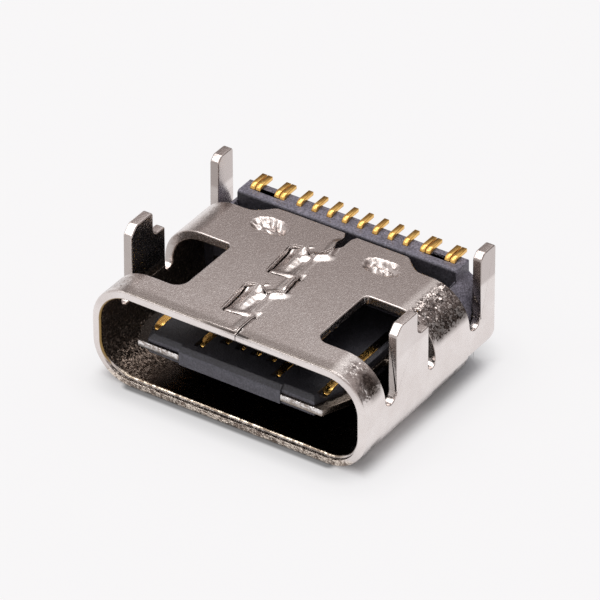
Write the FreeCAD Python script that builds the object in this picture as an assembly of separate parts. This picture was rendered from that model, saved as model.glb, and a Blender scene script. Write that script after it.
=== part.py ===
import FreeCAD, Part
import math
import os
from FreeCAD import Vector

# A sixteen-contact socket of the small reversible kind, for the top of a circuit board.
# It lies on the flat lid face of its shell, as a loose one does, with the solder side,
# the solder tails and the four shell legs up. X runs along the width of the mouth, Y goes
# from the mouth to the tips of the tails, and Z is up. Depths are measured from the mouth.
# The origin is in the middle of the footprint, on the lid face.

# Shell: one sheet, folded to a tube and locked along a seam
sheet = 0.29
mouth_width = 8.34
mouth_height = 2.56
mouth_corner_radius = 0.95
lip_round = 0.09

# Cuts along the bends and side walls, one behind the other from the mouth
window_front_depth = 1.03
front_slot_width = 0.52
front_leg_length = 1.03
leg_shoulder_length = 0.55
window_rear_slot_width = 0.36
wall_band_length = 1.71
rear_slot_width = 0.53
rear_leg_length = 0.73

# Windows that the front legs were cut from
window_reach = 2.27
window_front_round = 0.38
window_rear_round = 0.16
window_floor_rise = 0.13

# Rear edges of the solder-side wall and of the lid
flat_rear_half_width = 2.17
rear_step_width = 0.5
rear_step_length = 0.48
rear_corner_round = 0.25
rear_step_round = 0.6
lid_rear_setback = 0.27
lid_side_land = 0.12
lid_corner_radius = 0.3

# Legs, which stand in the plane of the side walls
leg_reach = 0.84
leg_corner_round = 0.15
leg_tip_round = 0.1
front_leg_chamfer = 0.25
leg_shoulder_rise = 0.06
shoulder_round = 0.06
shoulder_fillet = 0.22
rear_leg_chamfer = 0.17
rear_leg_foot_height = 0.95
rear_leg_foot_round = 0.25
rear_slot_floor_rise = 0.15

# Seam with two dovetail tabs of the right-hand sheet locked into the left-hand sheet
seam_gap = 0.03
seam_edge_width = 0.11
seam_edge_depth = 0.04
seam_offset = 0.28
seam_lean = 0.08
seam_lean_length = 1.4
front_tab_depth = 0.93
rear_tab_depth = 3.1
tab_front_reach = 0.98
tab_front_flare = 0.14
tab_rear_reach = 1.1
tab_rear_length = 1.26
tab_heel_reach = 0.7
tab_heel_length = 1.38
tab_waist_reach = 0.36
tab_waist_length = 1.1
tab_corner_round = 0.12
relief_hole_radius = 0.06
notch_length = 0.88
notch_shoulder_length = 0.58
notch_width = 0.22
notch_mouth_length = 0.2
notch_mouth_width = 0.42

# Pressed dimples that grip the plug
dimple_offset = 1.8
dimple_rear_setback = 0.38
dimple_length = 1.2
dimple_width = 0.68
dimple_floor_round = 0.04
dimple_wall_slope = 0.18
dimple_press = 0.2

# Tongue: two moulded halves on a metal plate
tongue_drop = 0.04
tongue_thickness = 0.7
tongue_tip_depth = 0.1
tongue_length = 4.5
tongue_side_land = 0.18
tongue_setback = 0.08
nose_half_width = 1.66
nose_height = 0.42
plate_thickness = 0.2
plate_reveal = 0.29
plate_corner_width = 0.34
plate_corner_length = 0.85
latch_notch_setback = 1.45
latch_notch_length = 1.5
latch_notch_reach = 0.24
latch_notch_round = 0.08
plate_ear_reach = 0.255
base_height = 1.3
base_seat_depth = 0.22
base_front_chamfer = 0.12

# Contacts: two rows of eight strips, whose tails share one line
contact_thickness = 0.12
contact_width = 0.25
contact_proud = 0.01
contact_pitch = 0.5
long_tip_setback = 0.55
short_tip_setback = 1.05
tip_ramp_length = 0.28
tip_ramp_drop = 0.13
tip_pocket_length = 0.2
fan_start_length = 0.25
fan_end_gap = 0.15
riser_setback = 0.28
tail_length = 0.65
tail_width = 0.16
tail_bend_radius = 0.2
board_gap = 0.13
pair_gap = 0.02
inner_pair_spacing = 0.65
outer_pair_spacing = 0.8

# Housing: the moulded block that closes the back
housing_gap = 0.12
housing_length = 0.67
housing_end_land = 0.24
housing_top_gap = 0.02
housing_side_gap = 0.01
housing_edge_chamfer = 0.06
wing_drop = 0.36
wing_length = 0.25
wing_inner_gap = 0.02

# Levels and half widths that follow from the sizes above
shell_width = mouth_width + 2 * sheet
shell_height = mouth_height + 2 * sheet
bend_radius = mouth_corner_radius + sheet
middle_height = shell_height / 2
side_inner = mouth_width / 2
side_outer = shell_width / 2
flat_half_width = side_outer - bend_radius
window_inner = side_outer - window_reach
lid_rear_half_width = flat_half_width - lid_side_land
leg_height = shell_height + leg_reach
window_floor_height = middle_height + window_floor_rise
rear_slot_floor_height = middle_height + rear_slot_floor_rise
wing_height = shell_height - wing_drop

# Depths that follow from the sizes above
front_leg_depth = window_front_depth + front_slot_width
front_leg_rear_depth = front_leg_depth + front_leg_length
shoulder_rear_depth = front_leg_rear_depth + leg_shoulder_length
window_rear_depth = shoulder_rear_depth + window_rear_slot_width
bend_rear_depth = window_rear_depth + wall_band_length
flat_rear_depth = bend_rear_depth + rear_step_length
rear_leg_depth = bend_rear_depth + rear_slot_width
leg_rear_depth = rear_leg_depth + rear_leg_length
housing_front_depth = flat_rear_depth + housing_gap
housing_rear_depth = housing_front_depth + housing_length
lid_rear_depth = housing_rear_depth - lid_rear_setback
wing_front_depth = bend_rear_depth - wing_length
dimple_depth = bend_rear_depth - dimple_rear_setback
base_front_depth = tongue_tip_depth + tongue_length
base_rear_depth = housing_front_depth + base_seat_depth
fan_start_depth = base_front_depth + fan_start_length
fan_end_depth = housing_front_depth - fan_end_gap
riser_depth = housing_front_depth + riser_setback
tail_tip_depth = riser_depth + tail_length

# Tongue, contacts and tails
tongue_middle = middle_height - tongue_drop
tongue_bottom = tongue_middle - tongue_thickness / 2
tongue_top = tongue_middle + tongue_thickness / 2
tongue_front_chamfer = (tongue_thickness - nose_height) / 2
plate_bottom = tongue_middle - plate_thickness / 2
plate_top = tongue_middle + plate_thickness / 2
outer_contact = 5.5 * contact_pitch
tongue_half_width = outer_contact + contact_width / 2 + tongue_side_land
plate_half_width = tongue_half_width + plate_reveal
base_half_width = plate_half_width + plate_ear_reach
dimple_corner_round = dimple_wall_slope + dimple_floor_round
pair_half_step = (tail_width + pair_gap) / 2
inner_pair_offset = 3.5 * contact_pitch + inner_pair_spacing
outer_pair_offset = inner_pair_offset + outer_pair_spacing
tail_plane_height = shell_height + board_gap
housing_top = tail_plane_height - contact_thickness - housing_top_gap
housing_half_width = outer_pair_offset + pair_half_step + tail_width / 2 + housing_end_land
beyond = 1.0


def point(plane, a, b, level):
    """A point from two coordinates in the named plane and one along its normal."""
    if plane == "XY":
        return Vector(a, b, level)
    if plane == "YZ":
        return Vector(level, a, b)
    return Vector(a, level, b)


def corner_path(corners, plane, level, closed):
    """Edges through (a, b, radius) corners, with a tangent arc where the radius isn't zero."""
    places = [point(plane, a, b, level) for a, b, radius in corners]
    count = len(corners)
    starts = list(places)
    ends = list(places)
    arcs = [None] * count
    for i, (a, b, radius) in enumerate(corners):
        if radius == 0:
            continue
        to_last = (places[i - 1] - places[i]).normalize()
        to_next = (places[(i + 1) % count] - places[i]).normalize()
        half = to_last.getAngle(to_next) / 2
        starts[i] = places[i] + to_last * (radius / math.tan(half))
        ends[i] = places[i] + to_next * (radius / math.tan(half))
        inward = (to_last + to_next).normalize()
        middle = places[i] + inward * (radius / math.sin(half) - radius)
        arcs[i] = Part.Arc(starts[i], middle, ends[i]).toShape()
    edges = []
    for i in range(count):
        if arcs[i] is not None:
            edges.append(arcs[i])
        last = i == count - 1
        if not last or closed:
            edges.append(Part.makeLine(ends[i], starts[(i + 1) % count]))
    return Part.Wire(edges)


def plate(corners, plane, low, high):
    """A flat plate with the given outline, from one level to another along its normal."""
    face = Part.Face(corner_path(corners, plane, low, True))
    return face.extrude(point(plane, 0, 0, high - low))


def block(x, y, z):
    """A box between the two values of each axis."""
    size = (x[1] - x[0], y[1] - y[0], z[1] - z[0])
    return Part.makeBox(*size, Vector(x[0], y[0], z[0]))


def bar(width, height, radius, front, rear):
    """A bar along Y about the middle of the mouth, with rounded long edges."""
    solid = block((-width / 2, width / 2), (front, rear),
                  (middle_height - height / 2, middle_height + height / 2))
    along = [edge for edge in solid.Edges if abs(edge.tangentAt(edge.FirstParameter).y) > 0.5]
    return solid.makeFillet(radius, along)


def mirrored(solid):
    """The same solid on the other side of the middle plane."""
    return solid.mirror(Vector(0, 0, 0), Vector(1, 0, 0))


def both_sides(solid):
    """A pair of solids, one on each side of the middle plane."""
    return [solid, mirrored(solid)]


def tube():
    """The folded sheet before it is cut: a tube with a rounded lip."""
    outer = bar(shell_width, shell_height, bend_radius, 0, leg_rear_depth)
    inner = bar(mouth_width, mouth_height, mouth_corner_radius, -beyond, leg_rear_depth + beyond)
    solid = outer.cut(inner)
    lip = [edge for edge in solid.Edges if edge.BoundBox.YMax < lip_round / 2]
    return solid.makeFillet(lip_round, lip)


def side_slot(front, rear, floor):
    """The round-bottomed slot beside a leg, open to the top, through the right-hand wall."""
    radius = (rear - front) / 2
    across = (flat_half_width, side_outer + beyond)
    upper = block(across, (front, rear), (floor + radius, leg_height))
    base = Vector(across[0], front + radius, floor + radius)
    lower = Part.makeCylinder(radius, across[1] - across[0], base, Vector(1, 0, 0))
    return upper.fuse(lower)


def window():
    """The opening in the right-hand bend, with a slot on each side of the front leg."""
    front_slot = side_slot(window_front_depth, front_leg_depth, window_floor_height)
    rear_slot = side_slot(shoulder_rear_depth, window_rear_depth, window_floor_height)
    outline = [
        (window_inner, window_front_depth, window_front_round),
        (side_outer + beyond, window_front_depth, 0),
        (side_outer + beyond, window_rear_depth, 0),
        (window_inner, window_rear_depth, window_rear_round),
    ]
    floor = window_floor_height + front_slot_width / 2
    return plate(outline, "XY", floor, leg_height).fuse([front_slot, rear_slot])


def front_leg():
    """The leg cut from the right-hand window, with its low shoulder behind the tall part."""
    shoulder_height = shell_height + leg_shoulder_rise
    outline = [
        (front_leg_depth, middle_height, 0),
        (front_leg_depth, leg_height - front_leg_chamfer, leg_corner_round),
        (front_leg_depth + front_leg_chamfer, leg_height, leg_corner_round),
        (front_leg_rear_depth, leg_height, leg_tip_round),
        (front_leg_rear_depth, shoulder_height, shoulder_fillet),
        (shoulder_rear_depth, shoulder_height, shoulder_round),
        (shoulder_rear_depth, middle_height, 0),
    ]
    return plate(outline, "YZ", side_inner, side_outer)


def rear_leg():
    """The leg at the back of the right-hand wall."""
    outline = [
        (rear_leg_depth, middle_height, 0),
        (rear_leg_depth, leg_height - rear_leg_chamfer, leg_corner_round),
        (rear_leg_depth + rear_leg_chamfer, leg_height, leg_corner_round),
        (leg_rear_depth, leg_height, leg_tip_round),
        (leg_rear_depth, middle_height, 0),
    ]
    return plate(outline, "YZ", side_inner, side_outer)


def rear_top_trim():
    """What is cut from the back of the solder-side wall and its bends."""
    right = [
        (flat_rear_half_width, flat_rear_depth, rear_corner_round),
        (flat_rear_half_width + rear_step_width, bend_rear_depth, rear_step_round),
        (side_outer + beyond, bend_rear_depth, 0),
        (side_outer + beyond, leg_rear_depth + beyond, 0),
    ]
    left = [(-x, y, radius) for x, y, radius in reversed(right)]
    return plate(right + left, "XY", rear_slot_floor_height + rear_slot_width / 2, leg_height)


def rear_bottom_trim():
    """What is cut from the lid side at the back, under the feet of the rear legs."""
    outline = [
        (bend_rear_depth, -beyond, 0),
        (bend_rear_depth, rear_leg_foot_height, 0),
        (leg_rear_depth, rear_leg_foot_height, rear_leg_foot_round),
        (leg_rear_depth, leg_height, 0),
        (leg_rear_depth + beyond, leg_height, 0),
        (leg_rear_depth + beyond, -beyond, 0),
    ]
    everything = plate(outline, "YZ", -side_outer - beyond, side_outer + beyond)
    kept = [
        (-lid_rear_half_width, bend_rear_depth - beyond, 0),
        (-lid_rear_half_width, lid_rear_depth, lid_corner_radius),
        (lid_rear_half_width, lid_rear_depth, lid_corner_radius),
        (lid_rear_half_width, bend_rear_depth - beyond, 0),
    ]
    return everything.cut(plate(kept, "XY", -beyond, sheet + rear_leg_foot_height / 4))


def tab_corners(front):
    """Seam corners round one dovetail tab, from its front to its waist behind the heel."""
    return [
        (seam_offset, front, 0),
        (seam_offset - tab_front_reach, front - tab_front_flare, tab_corner_round),
        (seam_offset - tab_rear_reach, front + tab_rear_length, tab_corner_round),
        (seam_offset - tab_heel_reach, front + tab_heel_length, tab_corner_round),
        (seam_offset - tab_waist_reach, front + tab_waist_length, tab_corner_round),
    ]


def seam_path(level):
    """The line of the seam, from in front of the mouth to the notch behind the rear tab."""
    corners = [(seam_offset, -beyond, 0)]
    corners += tab_corners(front_tab_depth)
    corners.append((seam_offset + seam_lean, front_tab_depth + seam_lean_length, relief_hole_radius))
    corners += tab_corners(rear_tab_depth)
    corners.append((seam_offset, flat_rear_depth - notch_length, 0))
    corners.append((seam_offset, flat_rear_depth - notch_mouth_length, 0))
    return corner_path(corners, "XY", level, False)


def notch(low, high):
    """The narrow notch at the back, where the two edges of the sheet part."""
    right = [
        (seam_offset + notch_width / 2, flat_rear_depth - notch_shoulder_length, 0),
        (seam_offset + notch_width / 2, flat_rear_depth - notch_mouth_length, 0),
        (seam_offset + notch_mouth_width / 2, flat_rear_depth, 0),
        (seam_offset + notch_mouth_width / 2, flat_rear_depth + beyond, 0),
    ]
    left = [(2 * seam_offset - x, y, radius) for x, y, radius in reversed(right)]
    tip = [(seam_offset, flat_rear_depth - notch_length, 0)]
    return plate(tip + right + left, "XY", low, high)


def seam_cut():
    """The gap of the seam, its pressed edges, the relief holes and the notch at the back."""
    inside = shell_height - sheet - sheet / 2
    gap = Part.Face(seam_path(inside).makeOffset2D(seam_gap / 2, 2))
    pressed = Part.Face(seam_path(shell_height - seam_edge_depth).makeOffset2D(seam_edge_width / 2, 2))
    cuts = [gap.extrude(Vector(0, 0, 2 * sheet)), pressed.extrude(Vector(0, 0, sheet))]
    for depth in (front_tab_depth, rear_tab_depth):
        cuts.append(Part.makeCylinder(relief_hole_radius, 2 * sheet, Vector(seam_offset, depth, inside)))
    cuts.append(notch(inside, inside + 2 * sheet))
    return cuts


def dimple(top, grow):
    """The form of one dimple with sloping walls, from a level down, grown on all sides."""
    a = dimple_length / 2 + grow
    b = dimple_width / 2 + grow
    corners = [(dimple_offset + side_x * a, dimple_depth + side_y * b, dimple_corner_round)
               for side_x, side_y in ((-1, -1), (1, -1), (1, 1), (-1, 1))]
    solid = plate(corners, "XY", top - dimple_press, top)
    floor = [edge for edge in solid.Edges if edge.BoundBox.ZMax < top - dimple_press / 2]
    return solid.makeChamfer(dimple_wall_slope, floor)


def shell():
    """The whole shell: tube, windows, legs, seam and dimples."""
    solid = tube()
    solid = solid.cut(both_sides(window()) + [rear_top_trim(), rear_bottom_trim()])
    slot = side_slot(bend_rear_depth, rear_leg_depth, rear_slot_floor_height)
    bend_over_leg = block((flat_half_width, side_outer), (rear_leg_depth, leg_rear_depth),
                          (shell_height - bend_radius, leg_height))
    solid = solid.cut(both_sides(slot) + both_sides(bend_over_leg))
    solid = solid.fuse(both_sides(front_leg()) + both_sides(rear_leg()))
    solid = solid.fuse(both_sides(dimple(shell_height - sheet, sheet / 8)))
    solid = solid.cut(both_sides(dimple(shell_height, 0)))
    solid = solid.cut(seam_cut())
    return solid.removeSplitter()


def tongue_outline(half_width, front, chamfer_width, chamfer_length, rear):
    """Half-open list of corners of a tongue layer seen from above."""
    return [
        (-half_width, rear, 0),
        (-half_width, front + chamfer_length, 0),
        (-half_width + chamfer_width, front, 0),
        (half_width - chamfer_width, front, 0),
        (half_width, front + chamfer_length, 0),
        (half_width, rear, 0),
    ]


def mid_plate():
    """The metal plate in the tongue, with latch notches and wide ears in the base."""
    front = tongue_tip_depth
    notch_front = front + latch_notch_setback
    notch_rear = notch_front + latch_notch_length
    right = [
        (nose_half_width, front + tongue_setback, 0),
        (nose_half_width, front, 0),
        (plate_half_width - plate_corner_width, front, 0),
        (plate_half_width, front + plate_corner_length, 0),
        (plate_half_width, notch_front, 0),
        (plate_half_width - latch_notch_reach, notch_front, latch_notch_round),
        (plate_half_width - latch_notch_reach, notch_rear, latch_notch_round),
        (plate_half_width, notch_rear, 0),
        (plate_half_width, base_front_depth, 0),
        (base_half_width, base_front_depth, 0),
        (base_half_width, base_rear_depth, 0),
    ]
    left = [(-x, y, radius) for x, y, radius in reversed(right)]
    return plate(right + left, "XY", plate_bottom, plate_top)


def insert_half():
    """The solder-side half of the tongue's plastic, without its nose or contact grooves."""
    front = tongue_tip_depth + tongue_setback
    rear = base_front_depth + base_front_chamfer
    outline = tongue_outline(tongue_half_width, front, plate_corner_width, plate_corner_length, rear)
    layer = plate(outline, "XY", plate_top, tongue_top)
    rims = [edge for edge in layer.Edges
            if edge.BoundBox.ZMin > tongue_top - contact_thickness / 2 and edge.BoundBox.YMin < base_front_depth
            and edge.BoundBox.YMax < base_front_depth]
    layer = layer.makeChamfer(tongue_front_chamfer, rims)
    base = block((-base_half_width, base_half_width), (base_front_depth, base_rear_depth),
                 (plate_top, tongue_middle + base_height / 2))
    edge = [edge for edge in base.Edges
            if edge.BoundBox.YMax < base_front_depth + contact_thickness / 2
            and edge.BoundBox.ZMin > plate_top + contact_thickness / 2]
    base = base.makeChamfer(base_front_chamfer, edge)
    return layer.fuse(base)


def nose():
    """The plastic in front of the metal plate, in the middle of the tongue's tip."""
    half = nose_height / 2
    rear = tongue_tip_depth + tongue_setback
    outline = [
        (tongue_tip_depth, tongue_middle - half, 0),
        (tongue_tip_depth, tongue_middle + half, 0),
        (tongue_tip_depth + tongue_front_chamfer, tongue_top, 0),
        (rear + tongue_front_chamfer, tongue_top, 0),
        (rear + tongue_front_chamfer, plate_top, 0),
        (rear, plate_top, 0),
        (rear, plate_bottom, 0),
        (rear, tongue_middle - half, 0),
    ]
    return plate(outline, "YZ", -nose_half_width, nose_half_width)


def turned_over(solid):
    """The same solid on the other side of the tongue's middle plane."""
    return solid.mirror(Vector(0, 0, tongue_middle), Vector(0, 0, 1))


def tip_place(reaches):
    """Depth of a contact's tip, for one whose tip reaches to the front and for a short one."""
    return tongue_tip_depth + (long_tip_setback if reaches else short_tip_setback)


def contact_strip(contact_x, tail_x, tip, low, drop):
    """The flat part of a contact, whose tip dips into the tongue by the signed drop."""
    half = contact_width / 2
    tail_half = tail_width / 2
    run_end = riser_depth - tail_bend_radius
    ramp_end = tip + tip_ramp_length
    nib = half / 2
    seen_from_above = [
        (contact_x - half, tip + nib, 0),
        (contact_x - nib, tip, 0),
        (contact_x + nib, tip, 0),
        (contact_x + half, tip + nib, 0),
        (contact_x + half, fan_start_depth, 0),
        (tail_x + tail_half, fan_end_depth, 0),
        (tail_x + tail_half, run_end, 0),
        (tail_x - tail_half, run_end, 0),
        (tail_x - tail_half, fan_end_depth, 0),
        (contact_x - half, fan_start_depth, 0),
    ]
    seen_from_side = [
        (tip, low - drop, 0),
        (ramp_end, low, 0),
        (run_end, low, 0),
        (run_end, low + contact_thickness, 0),
        (ramp_end, low + contact_thickness, 0),
        (tip, low + contact_thickness - drop, 0),
    ]
    reach = abs(drop)
    above = plate(seen_from_above, "XY", low - reach, low + contact_thickness + reach)
    return above.common(plate(seen_from_side, "YZ", -side_inner, side_inner))


def contact_wells():
    """What is open over and in front of the dipped tips on the solder side of the tongue."""
    high = tongue_top + contact_proud
    floor = high - tip_ramp_drop
    wells = []
    for place, lid_tail, solder_tail, reaches in row:
        x = (place - 1) * contact_pitch - outer_contact
        tip = tip_place(reaches)
        outline = [
            (tip - tip_pocket_length, floor, 0),
            (tip, floor - contact_thickness / 2, 0),
            (tip, floor, 0),
            (tip + tip_ramp_length, high, 0),
            (tip, high + contact_thickness, 0),
            (tip - tip_pocket_length, high + contact_thickness, 0),
        ]
        wells.append(plate(outline, "YZ", x - contact_width / 2, x + contact_width / 2))
    return wells


def contact_tail(tail_x, low):
    """The rear of a contact: it turns up through the housing and back to a flat tail."""
    high = tail_plane_height
    riser_rear = riser_depth + contact_thickness
    outline = [
        (riser_depth - tail_bend_radius, low, 0),
        (riser_rear, low, tail_bend_radius),
        (riser_rear, high - contact_thickness, tail_bend_radius - contact_thickness),
        (tail_tip_depth, high - contact_thickness, 0),
        (tail_tip_depth, high, 0),
        (riser_depth, high, tail_bend_radius),
        (riser_depth, low + contact_thickness, 0),
        (riser_depth - tail_bend_radius, low + contact_thickness, 0),
    ]
    return plate(outline, "YZ", tail_x - tail_width / 2, tail_x + tail_width / 2)


# Place number in the row, tail place, and whether its tip reaches to the front.
# The lid-side row counts from +X and the solder-side row from -X.
row = [
    (1, outer_pair_offset + pair_half_step, -outer_pair_offset - pair_half_step, True),
    (4, inner_pair_offset - pair_half_step, -inner_pair_offset + pair_half_step, True),
    (5, 2.5 * contact_pitch, -3.5 * contact_pitch, False),
    (6, 0.5 * contact_pitch, -1.5 * contact_pitch, False),
    (7, -0.5 * contact_pitch, 1.5 * contact_pitch, False),
    (8, -2.5 * contact_pitch, 3.5 * contact_pitch, False),
    (9, -inner_pair_offset - pair_half_step, inner_pair_offset + pair_half_step, True),
    (12, -outer_pair_offset + pair_half_step, outer_pair_offset - pair_half_step, True),
]


def contacts():
    """All sixteen contacts by name."""
    lid_low = tongue_bottom - contact_proud
    solder_low = tongue_top + contact_proud - contact_thickness
    made = {}
    for place, lid_tail, solder_tail, reaches in row:
        tip = tip_place(reaches)
        offset = outer_contact - (place - 1) * contact_pitch
        for letter, x, tail_x, low, drop in (("a", offset, lid_tail, lid_low, -tip_ramp_drop),
                                             ("b", -offset, solder_tail, solder_low, tip_ramp_drop)):
            strip = contact_strip(x, tail_x, tip, low, drop)
            solid = strip.fuse(contact_tail(tail_x, low)).removeSplitter()
            made["contact_%s%d" % (letter, place)] = solid
    return made


def housing_blank():
    """The rear block and its two side wings, before the tongue and contacts are let in."""
    width = mouth_width - 2 * housing_side_gap
    height = mouth_height
    core = bar(width, height, mouth_corner_radius, wing_front_depth, housing_rear_depth)
    inner = housing_half_width - wing_inner_gap
    front_room = block((-inner, inner), (wing_front_depth - beyond, housing_front_depth),
                       (-beyond, leg_height))
    above_wings = block((-side_outer, side_outer), (wing_front_depth - beyond, housing_rear_depth + beyond),
                        (wing_height, leg_height))
    top = block((-housing_half_width, housing_half_width), (housing_front_depth, housing_rear_depth),
                (middle_height, housing_top))
    edges = [edge for edge in top.Edges if edge.BoundBox.ZMin > housing_top - housing_edge_chamfer
             and edge.BoundBox.YMax < housing_rear_depth - housing_edge_chamfer]
    top = top.makeChamfer(housing_edge_chamfer, edges)
    return core.cut([front_room, above_wings]).fuse(top).removeSplitter()


def single(shape):
    """The one solid of a shape that holds just one."""
    solids = shape.Solids
    assert len(solids) == 1, "expected one solid, found %d" % len(solids)
    return solids[0]


def main():
    pieces = contacts()
    strips = list(pieces.values())
    pieces["mid_plate"] = mid_plate()
    half = insert_half().cut(contact_wells())
    pieces["upper_insert"] = single(half.fuse(nose()).cut(strips).removeSplitter())
    pieces["lower_insert"] = single(turned_over(half).cut(strips).removeSplitter())
    let_in = strips + [pieces["mid_plate"], half, turned_over(half)]
    pieces["housing"] = single(housing_blank().cut(let_in).removeSplitter())
    pieces["shell"] = single(shell())
    os.makedirs("parts", exist_ok=True)
    for name, solid in pieces.items():
        placed = single(solid)
        placed.translate(Vector(0, -tail_tip_depth / 2, 0))
        placed.exportStep("parts/%s.step" % name)
        print(name, placed.isValid(), round(placed.Volume, 4))


main()
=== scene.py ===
import math

import bmesh
import bpy
from mathutils import Matrix, Vector, noise


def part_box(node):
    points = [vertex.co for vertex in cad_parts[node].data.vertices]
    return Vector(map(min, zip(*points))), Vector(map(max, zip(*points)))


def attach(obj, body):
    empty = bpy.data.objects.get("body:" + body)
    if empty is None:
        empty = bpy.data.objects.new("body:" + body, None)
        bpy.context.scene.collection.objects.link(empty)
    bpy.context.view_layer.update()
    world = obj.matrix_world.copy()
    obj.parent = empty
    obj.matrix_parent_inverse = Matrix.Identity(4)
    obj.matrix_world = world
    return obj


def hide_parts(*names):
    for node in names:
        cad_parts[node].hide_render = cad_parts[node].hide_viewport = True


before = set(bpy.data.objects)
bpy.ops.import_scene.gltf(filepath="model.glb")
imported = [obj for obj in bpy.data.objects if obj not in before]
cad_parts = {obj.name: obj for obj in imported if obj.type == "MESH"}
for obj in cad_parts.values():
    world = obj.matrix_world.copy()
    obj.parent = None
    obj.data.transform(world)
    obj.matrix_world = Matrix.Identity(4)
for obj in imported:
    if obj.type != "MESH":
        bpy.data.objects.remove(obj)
bpy.context.view_layer.update()

MM = 0.001

# The camera, fitted to the photograph on the mouth and the upright leg edges
CAMERA_AZIMUTH = 33.96
CAMERA_ELEVATION = 34.68
CAMERA_ROLL = -0.24
CAMERA_DISTANCE = 180.0
CAMERA_SIDE_STEP = 1.968
CAMERA_UP_STEP = 3.412
CAMERA_SCALE = 36.89
CAMERA_CLIP = (0.01, 2.0)
PICTURE_PIXELS = 600
SENSOR = 36.0

# The shell's section and its place, in millimetres
SHELL_HEIGHT = 3.14
SHEET = 0.29
MOUTH_RADIUS = 0.95
MOUTH_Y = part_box("shell")[0][1] / MM
SIDE_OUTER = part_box("shell")[1][0] / MM
MIDDLE = SHELL_HEIGHT / 2
BEND_X = SIDE_OUTER - SHEET - MOUTH_RADIUS
BEND_Z = MIDDLE - SHEET - MOUTH_RADIUS

# The lamps: place and size in metres, power in watts
KEY_PLACE = (-0.04, 0.02, 0.3)
KEY_SIZE = 0.24
KEY_POWER = 0.42
EDGE_PLACE = (-0.138, -0.171, 0.204)
EDGE_SIZE = 0.06
EDGE_POWER = 0.057

# The floor, whose own glow sets in across the edge of the part's outline
FLOOR_COLOR = (0.922, 0.910, 0.916, 1)
FLOOR_GLOW = 0.88
FLOOR_GLOW_EDGE = (-0.42, 0.3)
FLOOR_HALF = 0.5
# Its painted shadow at the part: the gaps where each step starts and ends, and the light left at its start
FLOOR_PAINTED_SHADOWS = ((0.06, 0.2, 0.35), (0.15, 0.9, 0.8), (0.3, 1.6, 0.95))
# Under the round side walls a step sideways counts as this share of a gap in the painted shadow
OVERHANG_SHARE = 0.62

# Soft daylight on matt surfaces
SKY_LOW = (0.22, 0.22, 0.225, 1)
SKY_HIGH = (0.92, 0.92, 0.925, 1)

# The room that only reflections see: its walls, its tones by height and two bright patches
ROOM_DARK = (0.13, 0.11, 0.105, 1)
ROOM_LEFT = (0.75, 0.72, 0.71, 1)
ROOM_MIDDLE = (0.42, 0.372, 0.36, 1)
ROOM_BRIGHT = (1.0, 0.99, 0.99, 1)
ROOM_ZENITH = (0.62, 0.6, 0.595, 1)
ROOM_BY_HEIGHT = ((0.3, 0.54, ROOM_MIDDLE), (0.73, 0.88, ROOM_BRIGHT), (0.91, 0.98, ROOM_ZENITH))
BACK_LIGHT = (-0.2, 0.63, 0.75)
BACK_BRIGHT = (0.95, 0.93, 0.92, 1)
FRONT_LIGHT = (-0.47, -0.46, 0.753)
FRONT_BRIGHT = (1.35, 1.32, 1.3, 1)

# The key lamp's image in that room, by slope from straight up, with a hole round the zenith
LAMP_GLARE = (4.2, 4.1, 4.0, 1)
LAMP_ACROSS = (-0.58, -0.52, 0.24, 0.3)
LAMP_ALONG = (-0.36, -0.3, 0.47, 0.53)
LAMP_HOLE = (0.945, 0.965)
LAMP_LOWEST = 0.1

# Tones of the shell's nickel, with the painted shade, painted highlight and painted dark reflections laid
# over it
NICKEL_DEEP = (0.76, 0.695, 0.67, 1)
NICKEL_PALE = (0.85, 0.795, 0.775, 1)
# Painted shade: the top's tone toward the rear
NICKEL_REAR_PAINTED_SHADE = (0.58, 0.52, 0.5, 1)
# Painted shade on the upper lip's band, and a painted dark reflection on its round
LIP_BAND_PAINTED_SHADE = (0.46, 0.41, 0.385, 1)
LIP_ROUND_PAINTED_REFLECTION = (0.14, 0.12, 0.11, 1)
LEFT_RIM_RAW = (0.3, 0.2, 0.08, 1)
# The bends: duller partly as worked metal and partly as painted shade, and painted shade on their darkest
# stretches
BEND_DULL_AND_PAINTED_SHADE = (0.31, 0.27, 0.255, 1)
BEND_REAR_PAINTED_SHADE = (0.1, 0.083, 0.075, 1)
STREAK_PAINTED_SHADE = (0.1, 0.078, 0.066, 1)
# A painted highlight on the lower lip's round, and dark patches at random that break it
SILL_PAINTED_HIGHLIGHT = (0.95, 0.83, 0.68, 1)
SILL_HIGHLIGHT_BREAK = (0.17, 0.125, 0.09, 1)
SHEAR_DARK = (0.24, 0.175, 0.135, 1)
SHEAR_BRIGHT = (1.0, 0.88, 0.76, 1)
# Painted shade in the groove behind the lower lip's round
GROOVE_PAINTED_SHADE = (0.05, 0.035, 0.027, 1)
CUT_DARK = (0.2, 0.165, 0.145, 1)
# Painted shade on the tube's inner skin, with paler specks, darkest away from its left wall
INSIDE_PAINTED_SHADE = (0.2, 0.15, 0.12, 1)
INSIDE_SHADE_SPECKS = (0.6, 0.5, 0.43, 1)
INSIDE_RIGHT_PAINTED_SHADE = (0.03, 0.022, 0.017, 1)

# Tones of the tongue's plate, of the gold and, dark and light, of the two plastics; the tongue's is the
# housing's plastic painted darker as shade
PLATE_DEEP = (0.2, 0.16, 0.13, 1)
PLATE_DULL = (0.42, 0.36, 0.31, 1)
# Painted shade on the plate's left part
PLATE_LEFT_PAINTED_SHADE = (0.03, 0.027, 0.025, 1)
TORN_DEEP = (0.36, 0.31, 0.28, 1)
TORN_BRIGHT = (0.88, 0.85, 0.84, 1)
GOLD_DEEP = (0.82, 0.43, 0.09, 1)
GOLD_PALE = (1.0, 0.68, 0.24, 1)
GOLD_BROWN = (0.6, 0.3, 0.07, 1)
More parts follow.
